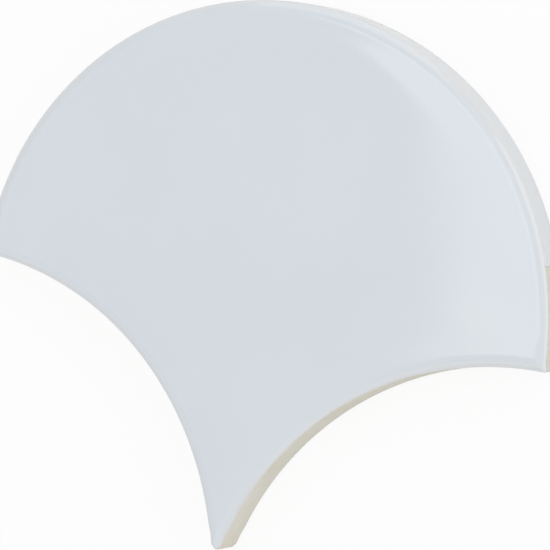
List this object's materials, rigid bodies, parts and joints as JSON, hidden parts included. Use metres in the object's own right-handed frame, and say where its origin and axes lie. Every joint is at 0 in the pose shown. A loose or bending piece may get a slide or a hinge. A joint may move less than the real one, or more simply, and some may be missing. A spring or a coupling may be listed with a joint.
{
  "type": "fish scale tile",
  "caption": "Fish scale wall tile with a round crown, two concave lower sides, a blunt tail and a glazed face with a rolled rim.",
  "frame": {"origin": "on the back plane, under the centre of the crown's arc", "axes": "+X across the tile's width, +Y up the laid wall towards the crown, +Z out of the glazed face"},
  "size_m": [0.12, 0.1062, 0.0085],
  "materials": {
    "white_glaze": "gloss"
  },
  "bodies": {
    "root": {"fish_scale_tile": "white_glaze"}
  },
  "joints": []
}
